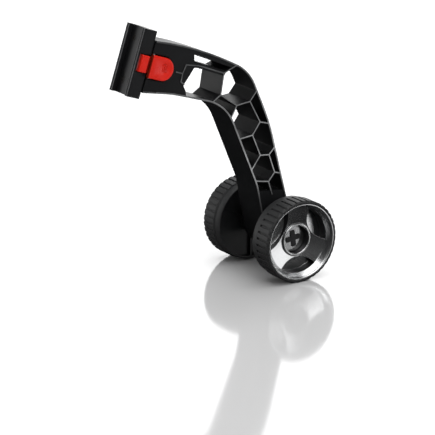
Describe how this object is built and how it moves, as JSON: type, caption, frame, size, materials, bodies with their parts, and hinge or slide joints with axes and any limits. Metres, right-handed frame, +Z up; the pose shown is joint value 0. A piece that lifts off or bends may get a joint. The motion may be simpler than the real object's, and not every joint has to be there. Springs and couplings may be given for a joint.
{
  "type": "clip-on guide wheels for a string trimmer",
  "caption": "Cranked honeycomb arm with a channelled clip-on head, red rocker latch and treaded guide wheels on a plastic axle.",
  "frame": {"origin": "centre of the bounding box in plan, on the level of the wheels' lowest point", "axes": "+Z up, +Y along the axle, the clip head at -X and the wheels at +X, the red lever on the -Y side"},
  "size_m": [0.2324, 0.123, 0.2879],
  "materials": {
    "black_plastic": "fine-textured black moulding",
    "tread_rubber": "dull black, moulded lugs",
    "silver_paint": "satin silver paint over plastic",
    "red_plastic": "semi-gloss red moulding",
    "steel": "zinc plated",
    "acetal": "natural acetal"
  },
  "bodies": {
    "frame": {"arm_frame": "black_plastic", "clip_head": "black_plastic", "head_screws": "steel", "latch_pivot_pin": "steel", "latch_spring": "steel", "axle": "black_plastic", "axle_lock_pin": "steel", "spacer_left": "black_plastic", "spacer_right": "black_plastic", "retainer_left": "silver_paint", "retainer_right": "silver_paint"},
    "latch": {"latch_lever": "red_plastic"},
    "wheel_left": {"tread_left": "tread_rubber", "rim_left": "black_plastic", "face_left": "silver_paint", "bush_left": "acetal"},
    "wheel_right": {"tread_right": "tread_rubber", "rim_right": "black_plastic", "face_right": "silver_paint", "bush_right": "acetal"}
  },
  "joints": [
    {"name": "wheel_left_spin", "type": "hinge", "parent": "frame", "child": "wheel_left", "pos_m": [0.07119, 0.0465, 0.045], "axis": [0, 1, 0], "continuous": true},
    {"name": "wheel_right_spin", "type": "hinge", "parent": "frame", "child": "wheel_right", "pos_m": [0.07119, -0.0465, 0.045], "axis": [0, 1, 0], "continuous": true},
    {"name": "latch_rock", "type": "hinge", "parent": "frame", "child": "latch", "pos_m": [-0.08609, -0.0152, 0.24847], "axis": [0.3173, 0, 0.9483], "range_deg": [0, 6], "stiffness_Nm_per_rad": 0.25, "springref_deg": -6.88, "deforming": ["latch_spring"]}
  ]
}
